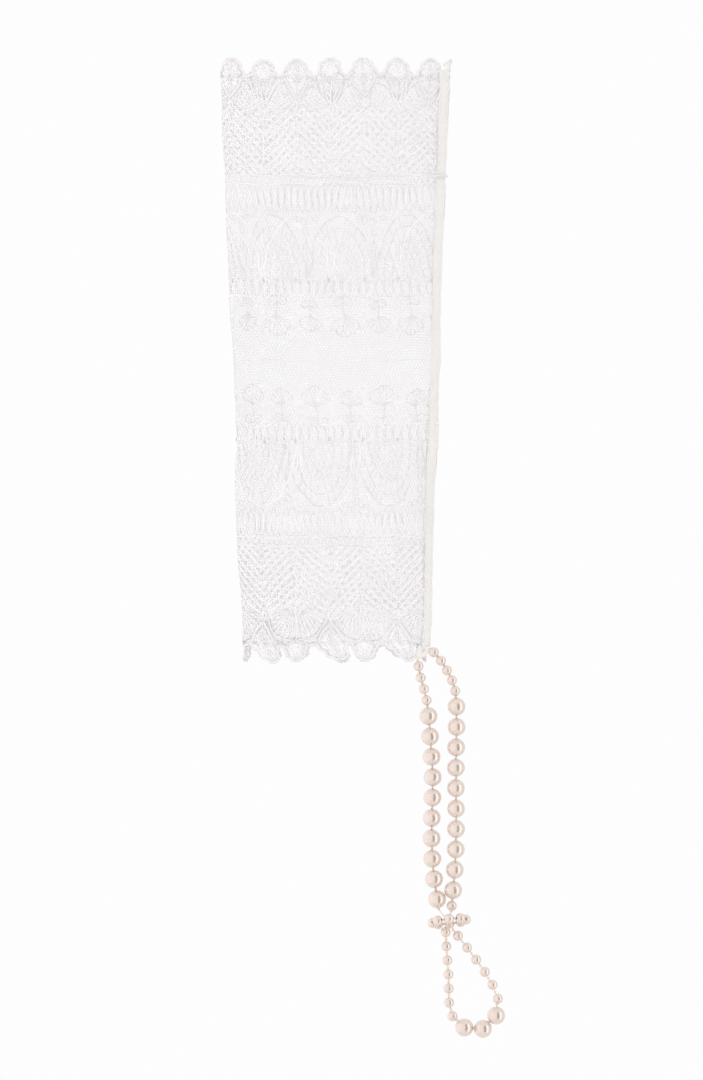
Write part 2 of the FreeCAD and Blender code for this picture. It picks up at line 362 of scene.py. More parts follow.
def bud_curves():
    """The diamond bud on r = 0 and the fan bud on the half repeat, with the edge between them."""
    fan = HALF_REPEAT
    reach, tall = BUD_HALF_WIDTH, BUD_HEIGHT
    fan_edge = [(fan, -tall + 0.7), (fan - 2.1, -4.6), (fan - reach, -2.0), (fan - reach - 0.4, 0.6)]
    lines = [
        (lobes([(V_REACH, 1.2), (reach, -2.0), (2.1, -4.7), (0, -tall + 0.6)]), OUTLINE),
        ([(V_REACH, 1.2), (3.3, 4.9), (0, V_DEPTH)], OUTLINE),
        (arc(0, 0.6, 2.3, 4.5, 0, -90), THREAD),
        ([(2.3, 0.6), (2.7, 2.2), (0, 6.9)], THREAD),
        ([(1.0, 1.0), (reach, -1.0)], THREAD),
        ([(0.8, 0.2), (2.5, -4.2)], THREAD),
        ([(1.0, 2.0), (4.4, 2.4)], THREAD),
        ([(0.4, 3.4), (3.6, 4.4)], THREAD),
        (lobes([(fan - reach - 0.4, 0.6), (7.1, 0.9), (V_REACH, 1.2)]), OUTLINE),
        (lobes(fan_edge), OUTLINE),
        (arc(fan, 0.5, 2.2, 4.4, 180, 270), THREAD),
        ([(fan - reach, 0), (fan - 2.3, 1.3), (fan, 1.8)], RIB),
        ([(fan, 1.4), (fan - 3.3, -1.8)], THREAD),
        ([(fan, 1.2), (fan - 2.1, -4.6)], THREAD),
        ([(fan - 2.2, 0.5), (fan - 1.2, 1.6)], THREAD),
    ]
    heart = 1.2              # d of the middle that the fine arcs and rays go round
    for share in (0.2, 0.38, 0.56, 0.74, 0.9):
        keel = [(V_REACH * share, heart), (3.1 * share, heart + 4.2 * share), (0, heart + 8.2 * share)]
        lines.append((arc(0, heart, reach * share, (tall + 0.6) * share, 0, -90), FINE))
        lines.append((keel, FINE))
        lines.append((arc(fan, heart, -reach * share, (tall + 0.6) * share, 0, -90), FINE))
    inner = 0.15             # start of a ray over its length
    for k in range(7):
        turn = math.radians(k * 15)
        r, d = reach * 0.92 * math.sin(turn), (tall + 0.5) * math.cos(turn)
        lines.append(([(inner * r, heart - inner * d), (r, heart - d)], FINE))
        lines.append(([(fan - inner * r, heart - inner * d), (fan - r, heart - d)], FINE))
    return [(points, width, False) for points, width in lines]


UPRIGHT = 9.0                # slope of a cell that stands nearly upright


def leaf(r, d, half_long, half_wide, slope, width, count=10):
    """A closed pointed cell whose long axis rises with the slope."""
    size = math.hypot(1, slope)
    along, across = (1 / size, -slope / size), (slope / size, 1 / size)
    points = []
    for t in np.arange(count) * 2 * math.pi / count:
        u, v = half_long * math.cos(t), half_wide * math.sin(t) * (0.55 + 0.45 * abs(math.sin(t)))
        points.append((r + u * along[0] + v * across[0], d + u * along[1] + v * across[1]))
    return (points, width, True)


def fan_curves():
    """Half a fan: ribs that spring from near its base to the outline that hangs between two V apexes."""
    base = (HALF_REPEAT, FAN_BASE)
    outer = [(1.6, 10.4), (3.4, 7.0), (5.9, 3.9), (9.0, 2.6), (HALF_REPEAT, 2.2)]
    curves = [(outer, RIB, False)]
    ribs = 7
    for k in range(ribs):
        r, d = on_curve(outer, k / ribs)
        start = (base[0] + (r - base[0]) * 0.26, base[1] + (d - base[1]) * 0.26)
        bend = (r * 0.6 + base[0] * 0.4, d * 0.42 + base[1] * 0.58)
        curves.append(([start, bend, (r, d)], FINE * 1.3, False))
    for share, size in ((0.12, 0.55), (0.3, 0.6), (0.5, 0.62), (0.72, 0.6), (0.92, 0.55)):
        r, d = on_curve(outer, share)
        slope = -(base[1] - d) / (base[0] - r + 0.01) if r < 12 else UPRIGHT
        curves.append(leaf(r * 0.72 + base[0] * 0.28, d * 0.72 + base[1] * 0.28, 1.5, size, slope, FINE))
    return curves


def scale_curves():
    """Slanting rows of pointed scales that fall towards the fan's axis, down to the band."""
    curves = []

    def level(k, r):
        """d of row k."""
        return 16.6 + k * SCALE_PITCH - SCALE_SLOPE * (HALF_REPEAT - r)

    def roof(r):
        """d where the scales start, under the buds' points and the fans."""
        return 12.2 + 0.32 * r

    for k in range(12):
        line = [(r, level(k, r)) for r in np.arange(0, HALF_REPEAT + 0.01, HALF_REPEAT / 12)]
        line = [p for p in line if roof(p[0]) < p[1] < BAND_TOP]
        if len(line) > 2:
            curves.append((line, THREAD, False))
        for j in range(6):
            r = (j + 0.25 + 0.5 * (k % 2)) * HALF_REPEAT / 6
            d = level(k, r) + SCALE_PITCH / 2
            if roof(r) + 0.8 < d < BAND_TOP - 1.2 and r < HALF_REPEAT - 0.6:
                curves.append(leaf(r, d, 1.3, 1.15, -SCALE_SLOPE, FINE * 1.4))
    return curves


def band_curves():
    """Two straight bars with a zigzag between them, then a row of tall ovals."""
    pitch = HALF_REPEAT / 5
    curves = [([(0, d), (HALF_REPEAT / 2, d + 0.15), (HALF_REPEAT, d)], THREAD, False)
              for d in (BAND_TOP, BAND_BOTTOM)]
    zigzag = [(j * pitch / 2, BAND_TOP if j % 2 else BAND_BOTTOM) for j in range(11)]
    curves += [([a, b], FINE, False) for a, b in zip(zigzag, zigzag[1:])]
    for j in range(5):
        tall = (OVAL_END - BAND_BOTTOM) / 2 - (0.7 if j % 2 else 0.0)
        curves.append(ring((j + 0.5) * pitch, BAND_BOTTOM + 0.3 + tall, 1.25, tall, FINE * 1.3, 12))
    return curves


def arch_curves():
    """A tall ribbed arch on r = 0 with round cells inside and beside it."""
    outer = arc(0, ARCH_FOOT, 12.3, 25.5, 0, -90, 12)
    middle = arc(0, ARCH_FOOT, 9.5, 21.0, 0, -90, 12)
    inner = arc(0, ARCH_FOOT, 6.3, 15.5, 0, -90, 10)
    curves = [(outer, THREAD * 1.2, False), (middle, THREAD, False), (inner, FINE, False)]
    for line, next_line, count, start in ((outer, middle, 11, 0.0), (middle, inner, 8, 0.5)):
        for k in range(count):
            share = (k + start) / count
            curves.append(([on_curve(line, share), on_curve(next_line, share)], FINE, False))
    for r, d, long in ((0.0, 66.8, 1.7), (HALF_REPEAT, 56.8, 1.7), (HALF_REPEAT, 60.6, 1.6),
                       (HALF_REPEAT - 2.4, 55.6, 1.3), (HALF_REPEAT - 4.6, 55.0, 1.1)):
        curves.append(leaf(r, d, long, 1.1, UPRIGHT, FINE))
    blade = [(HALF_REPEAT, 63.4), (HALF_REPEAT - 1.1, 67.5), (HALF_REPEAT - 1.3, 72.0), (HALF_REPEAT, 79.0)]
    curves.append((blade, THREAD, False))
    for row in range(4):
        d = ARCH_FOOT - 2.2 - 3.4 * row
        for j in range(3):
            r = 1.0 + 2.3 * j + 1.1 * (row % 2)
            if (r / 6.0) ** 2 + ((ARCH_FOOT - d) / 14.6) ** 2 < 1:
                curves.append(leaf(r, d, 1.6, 1.05, UPRIGHT, FINE))
    return curves


def leaf_row_curves():
    """Tall oval cells over a row of small knots, where the border gives way to plain tulle."""
    curves = []
    pitch = HALF_REPEAT / 4
    for j in range(4):
        curves.append(ring((j + 0.5) * pitch, 83.0, 1.32, 3.5, THREAD, 10))
    for j in range(5):
        curves.append(ring(j * pitch, 80.2, 0.42, 0.55, FINE, 6))
    return curves


def palmette(size):
    """Right half of a ribbed crown on a stem, with a smaller crown under it."""
    foot = 93.4
    crown = [(0, 101.6), (1.3, 101.3), (2.0, 100.4), (3.3, 100.2), (4.1, 98.8), (5.2, 98.2),
             (5.5, 96.6), (4.6, 95.2), (2.5, 94.8), (0, foot)]
    curves = [(crown, THREAD, False), ([(0, 86.0), (0, foot)], THREAD, False)]
    for tip in ((0, 101.3), (1.9, 100.4), (4.1, 98.8), (5.2, 96.8)):
        curves.append(([(0, foot), tip], FINE, False))
    curves.append(([(0, 86.2), (2.2, 86.0), (4.1, 88.2), (2.6, 89.6), (0, 88.6)], THREAD, False))
    curves.append(([(0, 86.4), (2.9, 88.4)], FINE, False))

    def scaled(point):
        return (point[0] * size, foot + (point[1] - foot) * size)

    return [([scaled(p) for p in points], width, closed) for points, width, closed in curves]


def mirror(curves):
    """The curves and their mirror images in r = 0, without repeating those that lie on it."""
    both = list(curves)
    for points, width, closed in curves:
        if max(abs(p[0]) for p in points) > 0.2:
            both.append(([(-p[0], p[1]) for p in points], width, closed))
    return both


def repeat_curves():
    """One full repeat of the border, and the lines on its two axes."""
    fan = HALF_REPEAT
    half = (bud_curves() + fan_curves() + scale_curves() + band_curves() + arch_curves()
            + leaf_row_curves() + palmette(1.0))
    axes = [
        ([(0, -5.9), (0, -1.2)], RIB, False),
        ring(0, 0.9, 1.0, 1.1, RIB),
        ([(0, 2.0), (0, V_DEPTH)], RIB, False),
        ring(0, V_DEPTH + 2.4, 0.9, 1.5, THREAD),
        ([(fan, -5.9), (fan, 1.6)], THREAD, False),
        ([(fan, 2.3), (fan, FAN_BASE - 2.6)], THREAD, False),
        ring(fan, FAN_BASE - 1.2, 1.1, 1.4, THREAD),
        ([(fan, FAN_BASE + 1.4), (fan, BAND_TOP)], THREAD, False),
        ([(fan, 64.0), (fan, 78.6)], THREAD, False),
    ]
    curves = mirror(half) + axes
    for points, width, closed in mirror(palmette(SMALL_PALMETTE)):
        curves.append(([(p[0] + fan, p[1]) for p in points], width, closed))
    return curves


def hex_net(low, high, s_low, s_high, pitch):
    """Edges of a hexagon net, as zigzag rows and the short bars that join them."""
    rise = pitch / math.sqrt(3)
    row_step = 1.5 * rise
    rows = int((high - low) / row_step) + 1
    count = int((s_high - s_low) / (pitch / 2)) + 1
    s = s_low + np.arange(count) * pitch / 2
    paths = []
    for k in range(rows):
        z = low + k * row_step
        up = ((np.arange(count) + k) % 2 == 0)
        line = np.stack([s, z + np.where(up, rise / 4, -rise / 4)], -1)
        paths.append(line)
        if k < rows - 1:
            for point in line[up]:
                paths.append(np.array([point, point + (0, rise)]))
    return paths


# ==== from the flat pattern to the sleeve

TAPE_LOW, TAPE_HIGH = end_spans("seam_tape", 0, TAPE_END)


def tape_edges(z):
    """x of the tape's two edges at height z."""
    share = (z - TAPE_LOW[0]) / (TAPE_HIGH[0] - TAPE_LOW[0])
    return (TAPE_LOW[1] + (TAPE_HIGH[1] - TAPE_LOW[1]) * share,
            TAPE_LOW[2] + (TAPE_HIGH[2] - TAPE_LOW[2]) * share)


def seam_arc(z):
    low, high = tape_edges(z)
    return arc_at((low + high) / 2, z)


def hand_made(s, z):
    """Small drifts of the pattern, the same for all threads at one place, so that they stay joined."""
    ds = 0.42 * wave(s, z, 0.21, 0.093) + 0.25 * wave(s, z, 0.63, 0.29, 1.0)
    dz = 0.45 * wave(s, z, 0.0, 0.087, 0.4) + 0.3 * wave(s, z, -0.13, 0.33) + 0.18 * wave(s, z, 0.0, 0.9)
    return s + ds, z + dz


def runs_inside(s, z, keep=True):
    """Slices of a path that lie on the lace, which ends under the tape on both sides."""
    seam = seam_arc(z)
    margin = np.where(z < HAND_VALLEY + 0.4, SEAM_CLEAR, 0.0)
    inside = keep & (s < seam - margin) & (s > seam + margin - TURN * half_width(z))
    edges = np.flatnonzero(np.diff(np.concatenate([[0], inside.astype(int), [0]])))
    return [slice(a, b) for a, b in zip(edges[::2], edges[1::2]) if b - a >= 2]


def fold(z):
    """s of the fold on the left."""
    return -TURN * half_width(z) / 4


def bud_shift(z):
    """How far the buds on the back at height z have to slide to lie behind those on the front."""
    cells = 2 * (fold(z) - PATTERN_START) / HALF_REPEAT
    return HALF_REPEAT * (cells - round(cells))


SHIFTS = ((HAND_VALLEY, 0, bud_shift(HAND_VALLEY)), (ARM_VALLEY, 0, bud_shift(ARM_VALLEY)))


def settle_back(s, z):
    """Slides the pattern on the back a little, past the fold, so that the buds of both layers meet."""
    share = np.clip((fold(z) - s) / SETTLE_LENGTH, 0, 1)
    return s + between(z, SHIFTS) * share * share * (3 - 2 * share)


def bud_lean(r, d):
    """How far the diamond buds at the hand end lean towards the seam."""
    return HAND_LEAN * np.clip((3.0 - d) / 8, 0, 1) * np.clip(1.6 - abs(r) / 5, 0, 1)


def nearest(s, start, step):
    """Distance of s from the nearest of the places start + k * step."""
    return abs((s - start + step / 2) % step - step / 2)


def on_lace(s, z):
    """Whether pattern points lie between the valley lines or on a bud beyond them."""
    out = np.clip(np.maximum(z - ARM_VALLEY, HAND_VALLEY - z), 0, None)
    reach = (BUD_HALF_WIDTH - 0.4) * np.sqrt(np.clip(1 - (out / (BUD_HEIGHT - 0.6)) ** 2, 0, 1))
    lean = bud_lean(0.0, -out) * np.where(s < fold(z), -1, 1)
    diamonds = nearest(s - lean, PATTERN_START + HALF_REPEAT, REPEAT)
    at_hand = np.minimum(diamonds, nearest(s, PATTERN_START, REPEAT))
    at_arm = nearest(s, PATTERN_START, HALF_REPEAT)
    return (out <= 0) | (np.where(z < HAND_VALLEY, at_hand, at_arm) < reach)


def lay(threads, s, z, width, closed=False, lift=0.0, keep=True):
    s, z = hand_made(s, z)
    s = settle_back(s, z)
    for part in runs_inside(s, z, keep):
        whole = closed and part.stop - part.start == len(s)
        offset = LACE_MIDDLE + lift + sag(s[part], z[part])
        points, normals = wrap(s[part], z[part], offset)
        threads.add(points, normals, width, width * FLATNESS, whole)


def lay_border(groups, direction):
    """All repeats of the border at one end. direction is 1 at the arm and -1 at the hand."""
    curves = [(smooth(p, STEP, c), w, c) for p, w, c in repeat_curves()]
    valley = ARM_VALLEY if direction > 0 else HAND_VALLEY
    shift = 0.0 if direction > 0 else HALF_REPEAT
    reach = TURN * half_width(valley)
    first = int(-reach / REPEAT) - 1
    for k in range(first, 4):
        axis = PATTERN_START + shift + k * REPEAT
        towards_seam = -1 if axis < fold(valley) else 1
        for points, width, closed in curves:
            r, d = points[:, 0], points[:, 1]
            s = axis + r + (bud_lean(r, d) * towards_seam if direction < 0 else 0.0)
            z = valley - direction * d
            raised = width >= RIB
            group = groups["cord" if raised else "fine"]
            lay(group[direction], s, z, width, closed, lift=CORD_LIFT if raised else 0.0)


def lay_tulle(threads, low, high):
    """The hexagon net that the whole lace is worked on, buds and all."""
    for path in hex_net(low, high, -TURN * half_width(high) - 2, half_width(high) + 3, TULLE_PITCH):
        s, z = path[:, 0], path[:, 1]
        lay(threads, s, z, TULLE, lift=NET_LIFT, keep=on_lace(s, z))


# ==== materials

def new_material(name):
    material = bpy.data.materials.new(name)
    material.use_nodes = True
    tree = material.node_tree
    return material, tree, tree.nodes["Principled BSDF"]


def set_inputs(node, values):
    for name, value in values.items():
        node.inputs[name].default_value = value


def placed(tree, texture, values):
    """A texture's value, laid out in the object's own coordinates."""
    where = tree.nodes.new("ShaderNodeTexCoord")
    tree.links.new(where.outputs["Object"], texture.inputs["Vector"])
    set_inputs(texture, values)
    return texture.outputs["Fac"]


def noise(tree, scale, detail=3.0):
    texture = tree.nodes.new("ShaderNodeTexNoise")
    return placed(tree, texture, {"Scale": scale, "Detail": detail})


def bands(tree, direction, scale, distortion):
    texture = tree.nodes.new("ShaderNodeTexWave")
    texture.wave_type = "BANDS"
    texture.bands_direction = direction
    return placed(tree, texture, {"Scale": scale, "Distortion": distortion})


def ramp(tree, value, stops):
    """Colours by value. A stop is its place and a colour, or a grey level."""
    node = tree.nodes.new("ShaderNodeValToRGB")
    tree.links.new(value, node.inputs["Fac"])
    while len(node.color_ramp.elements) < len(stops):
        node.color_ramp.elements.new(0.5)
    for element, (place, colour) in zip(node.color_ramp.elements, stops):
        element.position = place
        element.color = (*np.broadcast_to(colour, 3), 1.0)
    return node.outputs["Color"]


def multiplied(tree, first, second):
    node = tree.nodes.new("ShaderNodeMixRGB")
    node.blend_type = "MULTIPLY"
    node.inputs["Fac"].default_value = 1.0
    tree.links.new(first, node.inputs["Color1"])
    tree.links.new(second, node.inputs["Color2"])
    return node.outputs["Color"]


def computed(tree, operation, *values):
    """A sum done in the shader. Each value is a number or another node's output."""
    node = tree.nodes.new("ShaderNodeMath")
    node.operation = operation
    for socket, value in zip(node.inputs, values):
        if isinstance(value, float):
            socket.default_value = value
        else:
            tree.links.new(value, socket)
    return node.outputs[0]


def mixed(tree, share, first, second):
    """The first shader where share is 0, and the second where it is 1."""
    node = tree.nodes.new("ShaderNodeMixShader")
    tree.links.new(share, node.inputs["Fac"])
    tree.links.new(first, node.inputs[1])
    tree.links.new(second, node.inputs[2])
    return node.outputs["Shader"]


def add_bump(tree, shader, height, strength, distance):
    bump = tree.nodes.new("ShaderNodeBump")
    bump.inputs["Strength"].default_value = strength
    bump.inputs["Distance"].default_value = distance
    tree.links.new(height, bump.inputs["Height"])
    tree.links.new(bump.outputs["Normal"], shader.inputs["Normal"])


def thread_material(name, dark, light, roughness, sheen=0.35):
    """Spun thread: painted shade in slanting lines along the ply grooves, soft fibre noise and slow changes
    of colour.
    """
    material, tree, shader = new_material(name)
    colour = ramp(tree, noise(tree, 60.0, 2.0), [(0.3, dark), (0.7, light)])
    # Slightly darker slanting bands in the colour: painted shade of the grooves between the plies.
    ply_groove_bands = bands(tree, "DIAGONAL", 520.0, 1.5)
    painted_groove_shade = ramp(tree, ply_groove_bands, [(0.0, 0.975), (1.0, 1.0)])
    tree.links.new(multiplied(tree, colour, painted_groove_shade), shader.inputs["Base Color"])
    fibre = noise(tree, 2600.0, 4.0)
    add_bump(tree, shader, fibre, 0.25, 0.00004)
    spread = 0.08
    rough = ramp(tree, fibre, [(0.3, roughness - spread), (0.7, roughness + spread)])
    tree.links.new(rough, shader.inputs["Roughness"])
    set_inputs(shader, {"Sheen Weight": sheen, "Sheen Roughness": 0.4, "Specular IOR Level": 0.25})
    return material


def satin_material(name):
    """Narrow satin tape: fine cross ribs, a soft sheen and a slightly warm white."""
    material, tree, shader = new_material(name)
    colour = ramp(tree, noise(tree, 90.0),
                  [(0.3, (0.82, 0.785, 0.76)), (0.7, (0.87, 0.84, 0.815))])
    tree.links.new(colour, shader.inputs["Base Color"])
    add_bump(tree, shader, bands(tree, "Z", 1100.0, 0.6), 0.2, 0.00003)
    set_inputs(shader, {"Roughness": 0.42, "Anisotropic": 0.5, "Sheen Weight": 0.4})
    return material


def pearl_material():
    """Pink champagne nacre: a soft body colour that changes with the angle, under a clear glossy coat."""
    material, tree, shader = new_material("pearl_nacre")
    angle = tree.nodes.new("ShaderNodeLayerWeight")
    angle.inputs["Blend"].default_value = 0.45
    body = ramp(tree, angle.outputs["Facing"],
                [(0.0, (0.855, 0.742, 0.668)), (0.45, (0.885, 0.765, 0.708)), (0.85, (0.875, 0.77, 0.70))])
    patches = noise(tree, 240.0, 2.0)
    info = tree.nodes.new("ShaderNodeObjectInfo")
    tone = computed(tree, "MULTIPLY_ADD", info.outputs["Random"], 0.25, patches)
    tint = ramp(tree, tone,
                [(0.3, (0.97, 0.94, 0.93)), (0.62, 1.0), (0.9, (1.0, 0.955, 0.92))])
    tree.links.new(multiplied(tree, body, tint), shader.inputs["Base Color"])
    add_bump(tree, shader, noise(tree, 900.0, 5.0), 0.02, 0.00001)
    rough = ramp(tree, patches, [(0.3, 0.16), (0.7, 0.24)])
    tree.links.new(rough, shader.inputs["Roughness"])
    set_inputs(shader, {"Metallic": 0.55, "Specular IOR Level": 0.6, "Coat Weight": 0.5,
                        "Coat Roughness": 0.1, "Sheen Weight": 0.15})
    return material


LACE = thread_material("lace_thread", (0.925, 0.90, 0.912), (0.96, 0.938, 0.948), 0.75)
# The raised cord has the lace thread's colour made darker: painted shade along the raised outlines, where
# they stand above the fine threads.
CORD_PAINTED_SHADE = thread_material("lace_cord_painted_shade", (0.845, 0.815, 0.828), (0.885, 0.858, 0.869), 0.75)
NET = thread_material("tulle_thread", (0.895, 0.858, 0.87), (0.935, 0.902, 0.912), 0.7)
SATIN = satin_material("seam_satin")
SEWING = thread_material("sewing_thread", (0.87, 0.845, 0.81), (0.92, 0.90, 0.875), 0.5)
SILK = thread_material("silk_cord", (0.95, 0.80, 0.66), (0.985, 0.885, 0.775), 0.5)
NACRE = pearl_material()


def dress(obj, body, slot, *nodes):
    """Ties a piece to its body, in place of the CAD nodes named. Its slot is not used."""
    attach(obj, body)
    if nodes:
        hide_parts(*nodes)


# ==== lace sleeve

def build_lace():
    """The border at both ends, as raised cord and fine thread, and the net that carries them."""
    end_names = {1: "arm", -1: "hand"}
    groups = {kind: {direction: Threads() for direction in end_names}
              for kind in ("cord", "fine")}
    for direction in end_names:
        lay_border(groups, direction)
    for kind, ends in groups.items():
        for direction, threads in ends.items():
            # The cord takes the darker copy of the thread colour, which is painted shade.
            material = CORD_PAINTED_SHADE if kind == "cord" else LACE
            piece = threads.build(f"lace_{end_names[direction]}_{kind}", material)
            dress(piece, "sleeve", "lace", "lace_sleeve")
    levels = np.linspace(HAND_TIP, ARM_TIP, TULLE_BANDS + 1)
    for k, (low, high) in enumerate(zip(levels, levels[1:])):
        net = Threads(NET_SIDES)
        lay_tulle(net, low, high)
        piece = net.build(f"lace_net_{k + 1}", NET)
        dress(piece, "sleeve", "lace")


# ==== seam tape and its stitches

TAPE_OFFSET = 0.15           # middle of the tape above the sleeve's skin
TAPE_HALF_THICKNESS = 0.22
TAPE_RIB_PITCH = 0.5


def tape_frame(z, across, offset):
    """A point on the tape's own path, across from -1 to 1 over its width, and the outward normal."""
    low, high = tape_edges(z)
    shift, widening = -0.1, 1.06
    drift = 0.18 * np.sin(z * 0.071) + 0.1 * np.sin(z * 0.23 + 1.0)
    x = (low + high) / 2 + shift + drift + across * widening * (high - low) / 2
    s = arc_at(x, z)
    ripple = 0.12 * np.sin(z * 0.62) * across + 0.1 * np.sin(z * 0.17)
    return wrap(s, z, TAPE_OFFSET + offset + ripple + np.clip(sag(s, z), -0.2, 0.8))


def build_tape():
    """A flat ribbon with rounded edges, cross ribs and a raised selvedge along both sides."""
    across = np.concatenate([[-1.0, -0.94, -0.86], np.linspace(-0.7, 0.7, 7), [0.86, 0.94, 1.0]])
    selvedge, selvedge_rise, rib_rise = 0.8, 0.12, 0.04
    half_thickness = TAPE_HALF_THICKNESS * (0.35 + 0.65 * (1 - abs(across) ** 6))
    z = np.arange(TAPE_LOW[0] - 0.4, TAPE_HIGH[0] + 0.1, TAPE_RIB_PITCH / 2)
    ribs = np.where(np.arange(len(z)) % 2 == 0, rib_rise, -rib_rise)
    zz, aa = np.meshgrid(z, across, indexing="ij")
    crown = np.where(abs(across) > selvedge, selvedge_rise, 0.0)
    front, _ = tape_frame(zz, aa, half_thickness + crown + ribs[:, None] * (abs(across) < selvedge))
    back, _ = tape_frame(zz, aa, -half_thickness + 0 * zz)
    rows, cols = zz.shape
    verts = np.concatenate([front.reshape(-1, 3), back.reshape(-1, 3)])
    face = grid_faces(rows, cols, close_cols=False)
    half = rows * cols

    def rim(start, step, count, flipped):
        k = start + np.arange(count - 1) * step
        quads = np.stack([k, k + step, k + step + half, k + half], -1)
        return quads[:, ::-1] if flipped else quads

    rims = [rim(0, cols, rows, False), rim(cols - 1, cols, rows, True),
            rim(0, 1, cols, True), rim((rows - 1) * cols, 1, cols, False)]
    tape = make_mesh("seam_tape_satin", verts, [face, face[:, ::-1] + half] + rims, SATIN)
    dress(tape, "sleeve", "satin_tape", "seam_tape")


def build_seam_stitches():
    """Two rows of running stitches that dip into the tape at their ends."""
    threads = Threads()
    pitch, length, radius, row_place = 3.2, 2.2, 0.15, 0.62
    z = TAPE_LOW[0] + pitch / 2
    while z + length < TAPE_HIGH[0] - 1:
        t = np.linspace(0, 1, 9)
        lift = TAPE_HALF_THICKNESS + 0.12 - 0.3 * (2 * t - 1) ** 6
        for row in (-row_place, row_place):
            slant = row + 0.05 * np.sin(z * 1.7) + 0.08 * (t - 0.5)
            points, normals = tape_frame(z + length * t, slant, lift)
            threads.add(points, normals, radius, radius)
        z += pitch
    dress(threads.build("seam_stitches", SEWING), "sleeve", "sewing_thread", "seam_stitching")


def build_bar_tack():
    """Close stitches wound over three laid threads."""
    low, high = box_arrays("bar_tack")
    middle, tall = (low[2] + high[2]) / 2, high[2] - low[2]
    turns, turn_points = 24, 8
    t = np.linspace(0, 1, turns * turn_points + 1)
    turn = t * turns * 2 * math.pi
    x = low[0] + (high[0] - low[0]) * t
    threads = Threads()

    def stitch(x, z, lift, width, thick):
        s = arc_at(x, z)
        points, normals = wrap(s, z, lift + sag(s, z) * 0.5)
        threads.add(points, normals, width, thick)

    stitch(x, middle + np.sin(turn) * tall * 0.32, 1.02 + 0.06 * np.cos(turn * 2), 0.13, 0.13)
    core = x[::6]
    for level in (-0.18, 0.0, 0.18):
        stitch(core, middle + level * tall + 0 * core, 0.84, 0.15, 0.12)
    dress(threads.build("bar_tack_stitches", SEWING), "sleeve", "sewing_thread", "bar_tack")


# ==== tab

def build_tab():
    """The folded end of the tape: a soft five-sided pad with a crease, in the CAD tab's box."""
    low, high = box_arrays("anchor_tab")
    size = high - low
    outline = [(0.02, 0.66), (0.30, 0.97), (0.72, 1.0), (0.99, 0.84), (1.0, 0.42), (0.52, 0.02), (0.0, 0.0),
               (0.0, 0.34)]
    loop = smooth(np.array(outline), 0.045, True)
    centre = loop.mean(0)
    rings = [(1.0, 0.0), (0.985, 0.55), (0.93, 0.85), (0.8, 1.0), (0.55, 1.02), (0.28, 0.98)]
    verts = []
    count = len(loop)
    middle_y = (low[1] + high[1]) / 2
    crease_depth, crease_width, crease_foot, crease_lean, face_height = 0.10, 0.06, 0.35, 0.5, 0.7

    def add_ring(scale, height, side):
        flat = centre + (loop - centre) * scale
        away = flat[:, 0] - flat[:, 1] * crease_lean - crease_foot
        crease = crease_depth * np.exp(-(away / crease_width) ** 2)
        y = middle_y + side * (height * size[1] / 2 - crease * size[1] * (height > face_height))
        verts.append(np.stack([low[0] + flat[:, 0] * size[0], y, low[2] + flat[:, 1] * size[2]], -1))

    for scale, height in rings[::-1]:
        add_ring(scale, height, -1)
    for scale, height in rings[1:]:
        add_ring(scale, height, 1)
    total = len(verts)
    k = np.arange(count)
    faces = [grid_faces(total, count)]
    verts = np.concatenate(verts)
    ends = np.array([verts[:count].mean(0), verts[-count:].mean(0)])
    verts = np.concatenate([verts, ends])
    faces.append(np.stack([np.full(count, total * count), (k + 1) % count, k], -1))
    last = (total - 1) * count
    faces.append(np.stack([np.full(count, total * count + 1), last + k, last + (k + 1) % count], -1))
    dress(make_mesh("tab_fold", verts, faces, SATIN), "tab", "satin_tape", "anchor_tab")


def build_tab_stitches():
    """Hand stitches across the tab's top, which hold it to the tape."""
    low, high = box_arrays("tab_tacks")
    threads = Threads()
    stitches, radius = 4, 0.13
    t = np.linspace(0, 1, 9)
    normals = np.tile([0.0, -1.0, 0.0], (len(t), 1))
    for k in range(stitches):
        slant = 0.06 * (t - 0.5) * (1 if k % 2 else -1)
        x = low[0] + (high[0] - low[0]) * t
        y = (low[1] + high[1]) / 2 + 0.3 * (2 * t - 1) ** 6
        z = low[2] + (high[2] - low[2]) * ((k + 0.5) / stitches + slant)
        threads.add(np.stack([x, y, z], -1), normals, radius, radius)
    dress(threads.build("tab_stitch_bars", SEWING), "tab_stitches", "sewing_thread", "tab_tacks")


# ==== pearls, knots and cord

def pearl_mesh(name, diameter):
    """A slightly uneven sphere, turned in at both ends to the mouths of its hole."""
    radius = diameter / 2
    rings, sides = 30, 40
    start = math.asin(HOLE_RADIUS / radius)
    tilt = np.linspace(start, math.pi - start, rings)
    profile = [(radius * math.sin(t), radius * math.cos(t)) for t in tilt]
    lip = 0.12
    for sign, place in ((1, 0), (-1, len(profile) - 1)):
        r, z = profile[place]
        inner = [(r - lip * 0.4, z - sign * lip * 0.5), (r - lip * 0.5, z - sign * radius * 0.5)]
        if sign > 0:
            profile = inner[::-1] + profile
        else:
            profile = profile + inner
    turn = np.arange(sides) * 2 * math.pi / sides
    verts = []
    for r, z in profile:
        swell = 1 + 0.006 * np.sin(2 * turn + z * 0.6) + 0.004 * np.sin(3 * turn - z)
        verts.append(np.stack([r * swell * np.cos(turn), r * swell * np.sin(turn), np.full(sides, z)], -1))
    faces = grid_faces(len(profile), sides, close_rows=True)
    outwards = np.roll(faces[:, ::-1], 1, axis=1)
    holder = make_mesh(name, np.concatenate(verts), [outwards], NACRE)
    mesh = holder.data
    bpy.data.objects.remove(holder)
    return mesh


def place_pearl(name, mesh, centre, axis, spin):
    obj = add_object(name, mesh)
    turn = Vector(axis).to_track_quat("Z", "Y").to_matrix().to_4x4()
    obj.matrix_world = Matrix.Translation(Vector(centre) * MM) @ turn @ Matrix.Rotation(spin, 4, "Z")
    return obj


